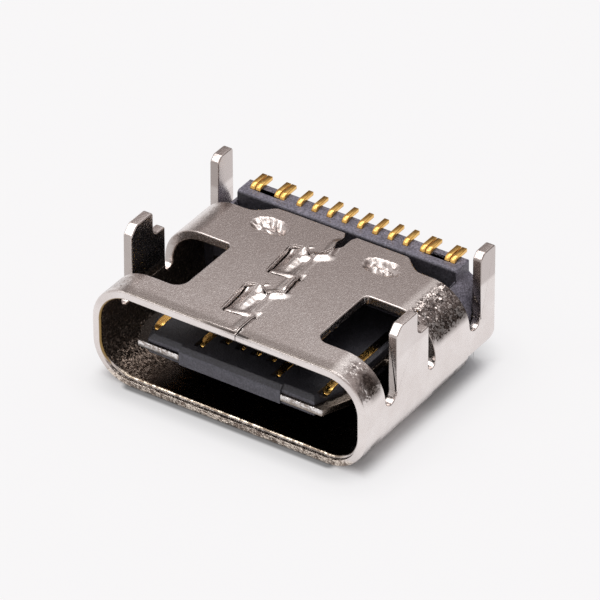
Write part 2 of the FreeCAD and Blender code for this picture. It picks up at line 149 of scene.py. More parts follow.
# Painted shade on the contacts' stretch deep in the tube
DEEP_STRETCH_PAINTED_SHADE = (0.12, 0.1, 0.09, 1)
HOUSING_TONES = ((0.065, 0.06, 0.078, 1), (0.26, 0.24, 0.295, 1))
# The housing's plastic painted darker as shade, for the tongue
TONGUE_PAINTED_SHADE_TONES = ((0.012, 0.011, 0.014, 1), (0.035, 0.034, 0.042, 1))
# Painted light and shade on the faces toward the mouth: how bright each plastic is painted there, where
# one is as bright as elsewhere; the housing's fronts are painted darker as shade, the tongue's brighter as
# light
HOUSING_FRONT_PAINTED_SHADE = 0.28
TONGUE_FRONT_PAINTED_LIGHT = 3.2

# Mesh work, in millimetres and degrees, with depths measured from the mouth
JOIN = 1e-7
FLAT_ANGLE = 1.0
SHARP_ANGLE = 30.0
EDGE_BREAK = 0.04
SEAM_EDGE_BREAK = 0.012
HOUSING_EDGE = 0.03
CONTACT_EDGE = 0.015
INNER_EDGE = 0.02
LIP_DEPTH = 0.12
GRID_STEP = 0.036
# What counts as the shell's top: how far a face's normal points up, and how far down a point lies
UPWARD = 0.3
TOP_SKIN = 0.06
# How far a point and its normal may be off the tube's true round
TUBE_SLACK = 0.006
TUBE_ANGLE = 15.0
# Zones of the top, each by two corners
WHOLE_TOP = ((-SIDE_OUTER, -1.0), (SIDE_OUTER, 10.0))
SEAM_ZONE = ((-1.05, 0.12), (0.75, 5.75))
DIMPLE_ZONE = ((1.02, 4.3), (2.58, 5.32))

# The step behind the lower lip: its length, the share left of the round's depth, and where it is
SILL_STEP = 0.09
SILL_ROUND_SHARE = 0.75
SILL_DEPTHS = (0.003, 0.1)
SILL_SKIN = 0.1
SILL_HEIGHTS = (0.35, 0.8)

# The two tabs, measured from each one's front right corner: outline and pressed profile across
SEAM_X = 0.28
TAB_FRONTS = (0.93, 3.1)
TAB_OUTLINE = [(0.1, 0.0), (-0.98, -0.14), (-1.1, 1.26), (-0.7, 1.38), (-0.36, 1.1), (0.08, 1.4)]
TAB_PROFILE = [(-1.2, -0.14), (-0.95, -0.12), (-0.86, -0.095), (-0.74, -0.045), (-0.64, -0.03),
               (-0.45, -0.065), (-0.34, -0.055), (-0.18, 0.004), (-0.1, 0.008), (0.0, 0.0)]
TAB_FRONT_SLANT = 0.143
TAB_FRONT_LEVEL = -0.04
TAB_SETTLE = (0.08, 0.4)
# A slope that rises to the rear, between two steps across the tab
TAB_RISE = 0.09
TAB_RISE_MIDDLE = 0.5
TAB_RISE_RIGHT = (0.35, 0.6)
TAB_RISE_LEFT = (0.95, 0.7)
# The curled heel at the rear left, and the drooping front edge
HEEL_CURL = 0.075
HEEL_ALONG = (1.02, 1.28)
HEEL_ACROSS = (0.45, 0.65)
FRONT_DROOP = 0.055
DROOP_LEAST = 0.35
DROOP_FADE = (0.55, 0.42)
DROOP_ALONG = (-0.17, 0.0)
DROOP_ACROSS = (0.06, 0.14)
# Crumples: width, length and seed of a broad and a narrow wave
CRUMPLE_HEIGHT = 0.015
BROAD_CRUMPLE = (0.13, 0.38, 0.7)
NARROW_CRUMPLE = (0.07, 0.12, 2.2)
NARROW_SHARE = 0.6
CRUMPLE_ACROSS = (0.15, 0.5)
# Ridges: points of a line, half width to its left and to its right, height
TAB_RIDGES = [
    ([(-0.42, 1.06), (-0.2, 1.21), (0.0, 1.35)], 0.14, 0.17, 0.075),
    ([(0.06, 1.45), (0.0, 2.02)], 0.2, 0.04, 0.075),
    ([(0.0, -0.6), (0.0, -0.06)], 0.2, 0.04, 0.065),
    ([(0.03, -0.85), (0.02, -0.62)], 0.04, 0.05, 0.02),
    ([(-0.62, 1.46), (-0.56, 1.5)], 0.05, 0.05, 0.025),
]

# The dimples: centre, half length and half width, depth, how square they are, folds and waves
DIMPLE_PLACE = (1.83, 4.84)
DIMPLE_REACH = (0.64, 0.38)
DIMPLE_DEPTH = 0.17
DIMPLE_POWER = 2.5
DIMPLE_WALL = (0.4, 1.0)
DIMPLE_FOLD = 0.09
FOLD_WIDTH = 0.34
FOLD_LEAN = 0.5
FOLD_GAIN = 3.5
FOLD_SEED = 3.0
DIMPLE_WAVE = (0.18, 0.18, 5.0)
WAVE_HEIGHT = 0.025


def add_camera():
    """A long lens that looks down on the right front corner, as in the photograph."""
    azimuth = math.radians(CAMERA_AZIMUTH)
    elevation = math.radians(CAMERA_ELEVATION)
    roll = math.radians(CAMERA_ROLL)
    level = math.cos(elevation)
    back = Vector((math.sin(azimuth) * level, -math.cos(azimuth) * level, math.sin(elevation)))
    level_right = Vector((math.cos(azimuth), math.sin(azimuth), 0))
    level_up = back.cross(level_right)
    right = level_right * math.cos(roll) + level_up * math.sin(roll)
    up = level_up * math.cos(roll) - level_right * math.sin(roll)
    data = bpy.data.cameras.new("camera")
    data.sensor_width = SENSOR
    data.lens = SENSOR * CAMERA_SCALE * CAMERA_DISTANCE / PICTURE_PIXELS
    data.clip_start, data.clip_end = CAMERA_CLIP
    camera = bpy.data.objects.new("camera", data)
    bpy.context.scene.collection.objects.link(camera)
    place = Vector((0, MOUTH_Y, 0)) + right * CAMERA_SIDE_STEP + up * CAMERA_UP_STEP
    place += back * CAMERA_DISTANCE
    turn = Matrix((right, up, back)).transposed().to_4x4()
    camera.matrix_world = Matrix.Translation(place * MM) @ turn
    bpy.context.scene.camera = camera


class Graph:
    """Short calls for building the nodes of a material or a world."""

    def __init__(self, tree):
        self.tree = tree
        tree.nodes.clear()

    def add(self, kind, inputs=None, **settings):
        node = self.tree.nodes.new(kind)
        for name, value in settings.items():
            setattr(node, name, value)
        for name, value in (inputs or {}).items():
            self.put(node.inputs[name], value)
        return node

    def put(self, socket, value):
        """Links a socket to another one, or gives it a fixed value."""
        if isinstance(value, bpy.types.NodeSocket):
            self.tree.links.new(value, socket)
        else:
            socket.default_value = value

    def math(self, operation, first, second=0.0):
        node = self.add("ShaderNodeMath", operation=operation)
        self.put(node.inputs[0], first)
        self.put(node.inputs[1], second)
        return node.outputs[0]

    def times(self, *values):
        """The product of two or more values."""
        product = values[0]
        for value in values[1:]:
            product = self.math("MULTIPLY", product, value)
        return product

    def hypot(self, first, second):
        """The length of the diagonal of two lengths."""
        squares = self.math("ADD", self.math("POWER", first, 2.0), self.math("POWER", second, 2.0))
        return self.math("SQRT", squares)

    def beyond(self, value, limit):
        """How far a value lies outside a limit on either side of zero."""
        return self.math("MAXIMUM", self.math("SUBTRACT", self.math("ABSOLUTE", value), limit), 0.0)

    def ramp(self, value, low, high, start=0.0, end=1.0):
        """A smooth step from start to end as the value goes from low to high."""
        node = self.add("ShaderNodeMapRange", interpolation_type="SMOOTHSTEP")
        for name, number in (("Value", value), ("From Min", low), ("From Max", high),
                             ("To Min", start), ("To Max", end)):
            self.put(node.inputs[name], number)
        return node.outputs["Result"]

    def fade(self, value, low, high):
        """A smooth step from one down to nothing."""
        return self.ramp(value, low, high, 1.0, 0.0)

    def band(self, value, start, full, fall, end):
        """One between two smooth edges, and nothing outside them."""
        return self.times(self.ramp(value, start, full), self.fade(value, fall, end))

    def vector(self, operation, first, second):
        node = self.add("ShaderNodeVectorMath", operation=operation)
        self.put(node.inputs[0], first)
        self.put(node.inputs["Scale" if operation == "SCALE" else 1], second)
        return node.outputs[0]

    def millimetres(self):
        """The place on the object in millimetres."""
        return self.vector("SCALE", self.add("ShaderNodeTexCoord").outputs["Object"], 1 / MM)

    def stretch(self, place, x, y, z):
        return self.vector("MULTIPLY", place, (x, y, z))

    def split(self, place):
        return self.add("ShaderNodeSeparateXYZ", {"Vector": place}).outputs[0:3]

    def facing(self):
        """How a face looks along the depth: minus one toward the mouth, one toward the rear."""
        return self.split(self.add("ShaderNodeNewGeometry").outputs["True Normal"])[1]

    def toward(self, direction, unit):
        """The cosine between a direction and a fixed one."""
        node = self.add("ShaderNodeVectorMath", operation="DOT_PRODUCT")
        self.put(node.inputs[0], direction)
        self.put(node.inputs[1], unit)
        return node.outputs["Value"]

    def noise(self, place, scale, detail, roughness):
        inputs = {"Vector": place, "Scale": scale, "Detail": detail, "Roughness": roughness}
        return self.add("ShaderNodeTexNoise", inputs).outputs["Fac"]

    def facets(self, place, scale, amount, normal):
        """Tilts the surface by small flat facets, like crystals in a metal's skin."""
        node = self.add("ShaderNodeTexVoronoi", {"Vector": place, "Scale": scale})
        tilt = self.vector("SUBTRACT", node.outputs["Color"], (0.5, 0.5, 0.5))
        tilted = self.vector("ADD", normal, self.vector("SCALE", tilt, amount))
        return self.vector("NORMALIZE", tilted, (0, 0, 0))

    def bump(self, height, distance, strength, normal=None):
        inputs = {"Height": height, "Distance": distance * MM, "Strength": strength}
        node = self.add("ShaderNodeBump", inputs)
        if normal is not None:
            self.put(node.inputs["Normal"], normal)
        return node.outputs["Normal"]

    def blend(self, factor, first, second):
        node = self.add("ShaderNodeMix", data_type="RGBA")
        self.put(node.inputs["Factor"], factor)
        self.put(node.inputs[6], first)
        self.put(node.inputs[7], second)
        return node.outputs[2]

    def paint(self, color, *layers):
        """A colour with tones laid over it in turn, each where its mask is."""
        for mask, tone in layers:
            color = self.blend(mask, color, tone)
        return color

    def finish(self, color, roughness, normal, metallic=0.0):
        inputs = {"Base Color": color, "Roughness": roughness, "Normal": normal, "Metallic": metallic}
        surface = self.add("ShaderNodeBsdfPrincipled", inputs)
        self.add("ShaderNodeOutputMaterial", {"Surface": surface.outputs[0]})


def new_material(name):
    material = bpy.data.materials.new(name)
    material.use_nodes = True
    return material, Graph(material.node_tree)


class NickelSheet:
    """The shell's skin: where a point lies on the folded sheet, in millimetres, and how it looks."""

    def __init__(self, g):
        self.g = g
        self.place = g.millimetres()
        self.x, y, self.z = g.split(self.place)
        self.facing = g.facing()
        self.from_mouth = g.math("SUBTRACT", y, MOUTH_Y)
        self.from_middle = g.math("ABSOLUTE", g.math("SUBTRACT", self.z, MIDDLE))
        self.out_x = g.beyond(self.x, BEND_X)
        self.out_z = g.beyond(self.from_middle, BEND_Z)
        self.through = g.math("SUBTRACT", g.hypot(self.out_x, self.out_z), MOUTH_RADIUS)
        self.in_tube = g.fade(self.z, SHELL_HEIGHT - 0.02, SHELL_HEIGHT + 0.05)
        self.low = g.fade(self.z, 0.25, 0.5)
        self.fine = g.noise(g.stretch(self.place, 1.0, 0.8, 1.0), 19.0, 3.0, 0.65)
        self.lumps = g.noise(self.place, 7.0, 3.0, 0.75)
        self.mark_bends()
        self.mark_cuts()
        self.mark_inside()

    def mark_bends(self):
        """Masks of the stretched bends, and of the painted shade on their darkest stretches at the rear
        and behind the lip.
        """
        g = self.g
        within = g.fade(self.through, SHEET + 0.01, SHEET + 0.05)
        bend = g.times(g.ramp(self.out_x, 0.15, 0.5), g.ramp(self.out_z, 0.25, 0.6), within, self.in_tube)
        right = g.ramp(self.x, 0.0, 1.0)
        rear = g.times(g.ramp(self.from_mouth, 3.3, 3.8), right)
        front = g.times(g.ramp(self.from_mouth, 0.12, 0.3), g.ramp(self.from_mouth, 0.7, 1.1, 0.45, 0.0))
        self.bent = g.times(bend, g.math("MAXIMUM", g.math("MAXIMUM", rear, front), 0.15))
        # Painted shade standing for the dark reflections of nearby parts on the bends
        self.rear_painted_shade = g.times(self.bent, rear, g.ramp(self.out_x, 0.75, 1.1))
        self.painted_shade_streak = g.times(bend, front, right, g.ramp(self.out_x, 0.55, 0.9),
                              g.ramp(self.from_mouth, 0.3, 0.55), 2.0)

    def mark_cuts(self):
        """Masks of what the press cut: the lower lip, the groove in it and faces toward the mouth."""
        g = self.g
        self.sheared = g.times(self.low, g.ramp(self.through, 0.05, 0.08),
                               g.fade(self.from_mouth, 0.08, 0.11))
        # Where painted shade goes in the groove
        self.groove_shade = g.times(self.low, g.band(self.through, 0.03, 0.05, 0.1, 0.12),
                              g.band(self.from_mouth, 0.005, 0.02, 0.09, 0.12))
        self.cut_edge = g.times(g.fade(self.facing, -0.95, -0.8), g.ramp(self.from_mouth, 0.2, 0.3))

    def mark_inside(self):
        """Masks of the tube's inner skin, of all but its left wall, and of that wall alone."""
        g = self.g
        sill = g.ramp(self.z, *SILL_HEIGHTS, SILL_STEP + 0.065, 0.07)
        behind_sill = g.math("SUBTRACT", self.from_mouth, sill)
        self.inside = g.times(g.fade(self.through, 0.03, 0.07), g.ramp(behind_sill, 0.0, 0.05),
                              self.in_tube)
        self.right_side = g.ramp(self.x, -3.4, -2.2)
        self.left_wall = g.times(self.inside, g.math("SUBTRACT", 1.0, self.right_side))

    def satin(self):
        """The plain skin, mottled, and painted darker toward the rear of the top as shade."""
        g = self.g
        broad = g.noise(self.place, 1.3, 3.0, 0.55)
        mottle = g.math("ADD", g.times(self.fine, 0.5), g.times(broad, 0.5))
        # Painted shade: the top darker toward the rear
        rearward_painted_shade = g.times(g.ramp(self.from_mouth, 0.0, 6.0),
                           g.ramp(self.z, SHELL_HEIGHT - 0.2, SHELL_HEIGHT - 0.05))
        plain = g.blend(g.ramp(mottle, 0.35, 0.65), NICKEL_DEEP, NICKEL_PALE)
        return g.blend(rearward_painted_shade, plain, NICKEL_REAR_PAINTED_SHADE)

    def lip_layers(self):
        """The upper lip's band painted darker as shade and its round painted dark as a dim reflection, and
        the raw rim of the left wall.
        """
        g = self.g
        on_top = g.times(g.ramp(self.through, 0.1, 0.16), g.ramp(self.facing, -0.9, -0.6), self.in_tube,
                         g.ramp(self.out_z, 0.5, 1.0), g.ramp(self.z, MIDDLE, MIDDLE + 0.2),
                         g.fade(self.out_x, 0.0, 0.35))
        # Painted shade on the band behind the upper lip, and a painted dark reflection on its round
        band = g.times(on_top, g.ramp(self.from_mouth, 0.22, 0.45, 0.85, 0.0))
        painted_dark_round = g.times(on_top, g.fade(self.facing, -0.2, -0.04), g.fade(self.from_mouth, 0.12, 0.15))
        left_rim = g.times(g.fade(self.x, -3.5, -3.2), g.fade(self.from_mouth, 0.06, 0.1),
                           g.fade(self.through, 0.045, 0.07))
        return (band, LIP_BAND_PAINTED_SHADE), (painted_dark_round, LIP_ROUND_PAINTED_REFLECTION), (left_rim, LEFT_RIM_RAW)

    def bend_layers(self):
        """The bends' duller skin, partly their rougher worked metal and partly painted shade, and painted
        shade on their darkest stretches.
        """
        return ((self.g.times(self.bent, 0.85), BEND_DULL_AND_PAINTED_SHADE), (self.rear_painted_shade, BEND_REAR_PAINTED_SHADE),
                (self.painted_shade_streak, STREAK_PAINTED_SHADE))

    def sill_layers(self):
        """The lower lip's round with a painted highlight broken by dark patches at random, its rough
        sheared edge and painted shade in the groove between them.
        """
        g = self.g
        # A painted highlight along the lower lip's round, broken by dark patches at random
        sill_round = g.times(self.low, g.fade(self.through, 0.03, 0.05),
                             g.fade(self.from_mouth, 0.22, 0.26))
        highlight_breaks = g.times(sill_round, g.ramp(self.lumps, 0.44, 0.58, 0.95, 0.1))
        shear_tone = g.blend(g.ramp(self.lumps, 0.4, 0.57), SHEAR_DARK, SHEAR_BRIGHT)
        # Painted shade in the groove behind the round
        groove_shade = g.times(self.groove_shade, g.ramp(self.lumps, 0.4, 0.55, 0.9, 0.6))
        return ((sill_round, SILL_PAINTED_HIGHLIGHT), (highlight_breaks, SILL_HIGHLIGHT_BREAK), (g.times(self.sheared, 0.92), shear_tone),
                (groove_shade, GROOVE_PAINTED_SHADE))

    def inner_layers(self):
        """The cut faces, and painted shade on the tube's inner skin, with paler specks, darkest away from
        its left wall.
        """
        g = self.g
        # Painted shade on the inner skin: dark with paler specks, darkest away from the left wall
        inner_painted_shade = g.blend(g.ramp(self.fine, 0.5, 0.72), INSIDE_PAINTED_SHADE, INSIDE_SHADE_SPECKS)
        inner_painted_shade = g.blend(self.right_side, inner_painted_shade, INSIDE_RIGHT_PAINTED_SHADE)
        return (g.times(self.cut_edge, 0.5), CUT_DARK), (g.times(self.inside, 0.95), inner_painted_shade)

    def color(self):
        return self.g.paint(self.satin(), *self.lip_layers(), *self.bend_layers(), *self.sill_layers(),
                            *self.inner_layers())

    def roughness(self):
        """Smoother where the sheet was bent or sheared, and duller on the left inner wall."""
        g = self.g
        plain = g.ramp(self.fine, 0.3, 0.7, 0.2, 0.3)
        smoothed = g.math("SUBTRACT", plain, g.times(g.math("MAXIMUM", self.bent, self.sheared), 0.1))
        return g.math("ADD", smoothed, g.times(self.left_wall, 0.2))

    def normal(self):
        """Grain, calmer on the side walls, with facets on bends and left wall, and lumps where sheared."""
        g = self.g
        upright = g.fade(self.from_middle, 0.9, 1.3)
        normal = g.bump(self.fine, 0.01, g.math("SUBTRACT", 0.4, g.times(upright, 0.34)))
        normal = g.facets(self.place, 11.0, g.times(self.bent, 0.6), normal)
        normal = g.facets(g.stretch(self.place, 1.0, 1.0, 1.1), 21.0, g.times(self.bent, 0.5), normal)
        normal = g.facets(self.place, 17.0, g.times(self.left_wall, 0.6), normal)
        return g.bump(self.lumps, 0.12, g.times(self.sheared, 0.9), normal)


def shell_nickel():
    """Satin nickel with fine grain, glittering where the sheet was bent and rough where it was cut, with
    painted shade, painted highlights and painted dark reflections in its colour.
    """
    material, g = new_material("shell_nickel")
    sheet = NickelSheet(g)
    g.finish(sheet.color(), sheet.roughness(), sheet.normal(), metallic=1.0)
    return material


def plate_nickel():
    """The plate of the tongue: torn and bright where its carrier strip broke off, dull elsewhere, and
    painted darker toward the left as shade.
    """
    material, g = new_material("plate_nickel")
    place = g.millimetres()
    x, y, z = g.split(place)
    front = g.times(g.fade(g.math("SUBTRACT", y, MOUTH_Y), 0.1, 0.16), g.ramp(z, 1.44, 1.56))
    torn = g.noise(g.stretch(place, 1.0, 1.0, 1.6), 7.0, 3.0, 0.7)
    fine = g.noise(place, 18.0, 3.0, 0.6)
    dull = g.blend(fine, PLATE_DEEP, PLATE_DULL)
    # Painted shade: the plate darker toward the left
    dull = g.blend(g.ramp(x, -1.0, 1.0, 0.9, 0.0), dull, PLATE_LEFT_PAINTED_SHADE)
    bright = g.blend(g.ramp(torn, 0.4, 0.6), TORN_DEEP, TORN_BRIGHT)
    normal = g.bump(torn, 0.08, g.times(front, 0.6), g.bump(fine, 0.012, 0.5))
    roughness = g.ramp(fine, 0.2, 0.8, 0.22, 0.38)
    g.finish(g.blend(front, dull, bright), roughness, normal, metallic=1.0)
    return material


def moulded_plastic(name, tones, front_painted_light_gain):
    """Slate plastic with a finely speckled, matt skin, its tone on the faces toward the mouth scaled by
    painted light and shade.
    """
    material, g = new_material(name)
    dark, light = tones
    place = g.millimetres()
    fine = g.noise(place, 20.0, 3.0, 0.7)
    broad = g.noise(g.stretch(place, 0.6, 1.0, 1.6), 4.0, 3.0, 0.6)
    color = g.blend(g.ramp(fine, 0.32, 0.68), dark, light)
    color = g.blend(g.ramp(broad, 0.35, 0.75, 0.0, 0.55), color, dark)
    # Painted light and shade: faces toward the mouth scaled by the gain, darker as shade below one and
    # brighter as light above one
    color = g.vector("SCALE", color, g.ramp(g.facing(), -0.95, -0.6, front_painted_light_gain, 1.0))
    g.finish(color, g.ramp(fine, 0.3, 0.7, 0.36, 0.55), g.bump(fine, 0.03, 0.7))
    return material


def contact_gold():
    """Gold flash, drawn in the strip's direction, with painted shade darkening a stretch deep in the tube.
    """
    material, g = new_material("contact_gold")
    place = g.millimetres()
    fine = g.noise(g.stretch(place, 1.0, 0.35, 1.0), 20.0, 3.0, 0.6)
    broad = g.noise(place, 3.5, 2.0, 0.5)
    from_mouth = g.math("SUBTRACT", g.split(place)[1], MOUTH_Y)
    # Painted shade darkens the strip's stretch deep in the tube
    color = g.paint(g.blend(fine, GOLD_DEEP, GOLD_PALE),
                    (g.ramp(broad, 0.45, 0.75, 0.0, 0.5), GOLD_BROWN),
                    (g.band(from_mouth, 2.95, 3.1, 4.9, 5.0), DEEP_STRETCH_PAINTED_SHADE))
    g.finish(color, g.ramp(fine, 0.3, 0.7, 0.17, 0.3), g.bump(fine, 0.01, 0.4), metallic=1.0)
    return material


def ray_kinds(g):
    """One where a ray comes from a glossy or clear surface, and one where it comes from the camera."""
    path = g.add("ShaderNodeLightPath").outputs
    mirrored = g.math("MAXIMUM", path["Is Glossy Ray"], path["Is Transmission Ray"])
    return mirrored, path["Is Camera Ray"]


def floor_material():
    """A pale floor, evenly bright away from the part, lit and shaded by the lamps close to it, and with a
    painted shadow darkening it round the part.
    """
    material, g = new_material("pale_floor")
    mirrored, seen = ray_kinds(g)
    x, y = g.split(g.millimetres())[0:2]
    past_side = g.math("SUBTRACT", g.math("ABSOLUTE", x), SIDE_OUTER)
    past_end = g.math("ADD", g.math("ABSOLUTE", y), MOUTH_Y)
    glow_share = g.ramp(g.math("MAXIMUM", past_side, past_end), *FLOOR_GLOW_EDGE, 0.0, FLOOR_GLOW)
    gap = g.hypot(g.times(g.beyond(x, BEND_X), OVERHANG_SHARE), g.math("MAXIMUM", past_end, 0.0))
    # Painted contact shadow: the floor's colour darkened close to the part
    light_left_by_painted_shadow = g.times(*[g.ramp(gap, start, end, left, 1.0) for start, end, left in FLOOR_PAINTED_SHADOWS])
    color = g.blend(light_left_by_painted_shadow, (0.0, 0.0, 0.0, 1), FLOOR_COLOR)
    diffuse = g.add("ShaderNodeBsdfDiffuse", {"Color": color})
    glow = g.add("ShaderNodeEmission", {"Color": color, "Strength": 1.0})
    mix = g.add("ShaderNodeMixShader", {"Fac": g.times(g.math("MAXIMUM", mirrored, seen), glow_share)})
    g.put(mix.inputs[1], diffuse.outputs[0])
    g.put(mix.inputs[2], glow.outputs[0])
    g.add("ShaderNodeOutputMaterial", {"Surface": mix.outputs[0]})
    return material


def add_floor():
    """A level square under the part."""
    mesh = bpy.data.meshes.new("floor")
    corners = [(x * FLOOR_HALF, y * FLOOR_HALF, 0) for x, y in ((-1, -1), (1, -1), (1, 1), (-1, 1))]
    mesh.from_pydata(corners, [], [(0, 1, 2, 3)])
    floor = bpy.data.objects.new("floor", mesh)
    bpy.context.scene.collection.objects.link(floor)
    mesh.materials.append(floor_material())


def lamp_image(g, direction):
    """Where reflections see the key lamp, save round the zenith, so that level faces don't blaze."""
    sideways, depth, height = g.split(direction)
    level = g.math("MAXIMUM", height, LAMP_LOWEST)
    across = g.math("DIVIDE", sideways, level)
    along = g.math("DIVIDE", depth, level)
    return g.times(g.band(across, *LAMP_ACROSS), g.band(along, *LAMP_ALONG), g.fade(height, *LAMP_HOLE))


def mirrored_room(g, direction):
    """A room with dark walls behind and on the right, pale ones before and on the left, and its lamps."""
    sideways, depth, height = g.split(direction)
    wall = g.blend(g.fade(sideways, -0.74, -0.66), ROOM_DARK, ROOM_LEFT)
    wall = g.blend(g.fade(depth, -0.4, 0.1), wall, ROOM_LEFT)
    room = g.blend(g.ramp(height, -0.02, 0.05), FLOOR_COLOR, wall)
    for low, high, tone in ROOM_BY_HEIGHT:
        room = g.blend(g.ramp(height, low, high), room, tone)
    return g.paint(room,
                   (g.ramp(g.toward(direction, BACK_LIGHT), 0.965, 0.99), BACK_BRIGHT),
                   (g.ramp(g.toward(direction, FRONT_LIGHT), 0.88, 0.96), FRONT_BRIGHT),
                   (lamp_image(g, direction), LAMP_GLARE))


def add_world():
    """Soft daylight for matt surfaces, the room for reflections, and the floor's tone for the camera."""
    world = bpy.data.worlds.new("studio")
    bpy.context.scene.world = world
    world.use_nodes = True
    g = Graph(world.node_tree)
    mirrored, seen = ray_kinds(g)
    direction = g.add("ShaderNodeTexCoord").outputs["Generated"]
    daylight = g.blend(g.ramp(g.split(direction)[2], 0.2, 0.8), SKY_LOW, SKY_HIGH)
    sky = g.paint(daylight, (mirrored, mirrored_room(g, direction)), (seen, FLOOR_COLOR))
    back = g.add("ShaderNodeBackground", {"Color": sky, "Strength": 1.0})
    g.add("ShaderNodeOutputWorld", {"Surface": back.outputs[0]})


def add_softbox(name, place, size, power):
    """A square lamp that looks at the part."""
    data = bpy.data.lights.new(name, "AREA")
    data.shape = "SQUARE"
    data.size = size
    data.energy = power
    lamp = bpy.data.objects.new(name, data)
    bpy.context.scene.collection.objects.link(lamp)
    lamp.location = place
    lamp.rotation_euler = Vector(place).to_track_quat("Z", "Y").to_euler()
    return lamp


def add_lamps():
    """A broad key lamp overhead, and a small one that lights the left edges."""
    key = add_softbox("key_light", KEY_PLACE, KEY_SIZE, KEY_POWER)
    # The mirrored room already holds this lamp's image
    key.visible_glossy = False
    add_softbox("edge_light", EDGE_PLACE, EDGE_SIZE, EDGE_POWER)


def inside_zone(zone, x, y):
    """Whether a place, in millimetres, lies between a zone's two corners."""
    (x0, y0), (x1, y1) = zone
    return x0 < x < x1 and y0 < y < y1


def place_of(point):
    """A mesh point in millimetres, with its depth measured from the mouth."""
    return point.x / MM, point.y / MM - MOUTH_Y, point.z / MM


def into_bend(x, z):
    """How far a place lies out beyond the bends' centres, sideways and up or down."""
    return max(abs(x) - BEND_X, 0.0), max(abs(z - MIDDLE) - BEND_Z, 0.0)


def break_edges(work):
    """Rounds the sheet's sharp outer edges behind the lip a little, and less beside the seam."""
    for near_seam, width in ((False, EDGE_BREAK), (True, SEAM_EDGE_BREAK)):
        chosen = []
        for edge in work.edges:
            if len(edge.link_faces) != 2 or edge.calc_face_angle_signed() < math.radians(SHARP_ANGLE):
                continue
            x, y, z = place_of((edge.verts[0].co + edge.verts[1].co) / 2)
            in_zone = inside_zone(SEAM_ZONE, x, y) and z > MIDDLE
            if in_zone == near_seam and y > LIP_DEPTH:
                chosen.append(edge)
        bmesh.ops.bevel(work, geom=chosen, offset=width * MM, offset_type="OFFSET", segments=2,
                        profile=0.5, affect="EDGES", clamp_overlap=False, miter_outer="ARC")


def zone_faces(work, zone, lowest):
    """The faces that look up from the top of the shell inside a zone."""
    found = []
    for face in work.faces:
        x, y, z = place_of(face.calc_center_bounds())
        if face.normal.z > UPWARD and z > lowest and inside_zone(zone, x, y):
            found.append(face)
    return found


def with_edges(faces):
    """Faces with their edges and corners, as the cutting call wants them."""
    edges = {edge for face in faces for edge in face.edges}
    verts = {vert for face in faces for vert in face.verts}
    return list(verts) + list(edges) + list(faces)


def cut(work, geometry, axis, place):
    """Cuts faces across one axis, and returns them with the new edges."""
    normal = (1, 0, 0) if axis == 0 else (0, 1, 0)
    point = (place * MM, 0, 0) if axis == 0 else (0, (place + MOUTH_Y) * MM, 0)
    return bmesh.ops.bisect_plane(work, geom=geometry, dist=JOIN, plane_co=point, plane_no=normal)["geom"]


def cut_grid(work, zone, lowest):
    """Cuts the top of the shell inside a zone into a fine grid."""
    for axis in (0, 1):
        for corner in zone:
            cut(work, with_edges(zone_faces(work, WHOLE_TOP, lowest)), axis, corner[axis])
    for axis in (0, 1):
        geometry = with_edges(zone_faces(work, zone, lowest))
        low, high = zone[0][axis], zone[1][axis]
        count = round((high - low) / GRID_STEP)
        for i in range(1, count):
            geometry = cut(work, geometry, axis, low + (high - low) * i / count)


def smooth_step(value, low, high):
    """Nothing at the low value and one at the high one, which may also be the smaller of the two."""
    share = min(1.0, max(0.0, (value - low) / (high - low)))
    return share * share * (3 - 2 * share)


def wave(x, y, width, length, seed):
    """The height of soft random waves of a width and a length."""
    return noise.noise(Vector((x / width, y / length, seed)))


def ridge_height(x, y, points, left_width, right_width, rise):
    """Height of one ridge, with a slope of its own on each side of its line."""
    best = None
    for (x0, y0), (x1, y1) in zip(points, points[1:]):
        along = (x1 - x0, y1 - y0)
        share = ((x - x0) * along[0] + (y - y0) * along[1]) / (along[0] ** 2 + along[1] ** 2)
        share = min(1.0, max(0.0, share))
        gap = math.hypot(x - x0 - along[0] * share, y - y0 - along[1] * share)
        on_left = along[0] * (y - y0) - along[1] * (x - x0) > 0
        if best is None or gap < best[0]:
            best = (gap, left_width if on_left else right_width)
    return rise * math.exp(-(best[0] / best[1]) ** 2)


def in_outline(x, y, outline):
    """Whether a place lies inside a closed outline."""
    inside = False
    for (x0, y0), (x1, y1) in zip(outline, outline[1:] + outline[:1]):
        if (y0 > y) != (y1 > y) and x < x0 + (x1 - x0) * (y - y0) / (y1 - y0):
            inside = not inside
    return inside


def pressed_height(x, y):
    """Height of a tab's own surface, pressed below the sheet round it."""
    height = 0.0
    for (x0, h0), (x1, h1) in zip(TAB_PROFILE, TAB_PROFILE[1:]):
        if x0 <= x < x1:
            height = h0 + (h1 - h0) * smooth_step(x, x0, x1)
    left = -x
    behind_front = y - TAB_FRONT_SLANT * x
    settled = smooth_step(behind_front, *TAB_SETTLE)
    height = height * settled + TAB_FRONT_LEVEL * (1 - settled)
    rising = smooth_step(left, *TAB_RISE_RIGHT) * smooth_step(left, *TAB_RISE_LEFT)
    height += TAB_RISE * (y - TAB_RISE_MIDDLE) * rising * settled
    height += HEEL_CURL * smooth_step(y, *HEEL_ALONG) * smooth_step(left, *HEEL_ACROSS)
    droop = DROOP_LEAST + (1 - DROOP_LEAST) * smooth_step(left, *DROOP_FADE)
    near_front = smooth_step(-behind_front, *DROOP_ALONG) * smooth_step(left, *DROOP_ACROSS)
    height -= FRONT_DROOP * droop * near_front
    crumple = wave(x, y, *BROAD_CRUMPLE) + NARROW_SHARE * wave(x, y, *NARROW_CRUMPLE)
    return height + CRUMPLE_HEIGHT * crumple * smooth_step(left, *CRUMPLE_ACROSS)


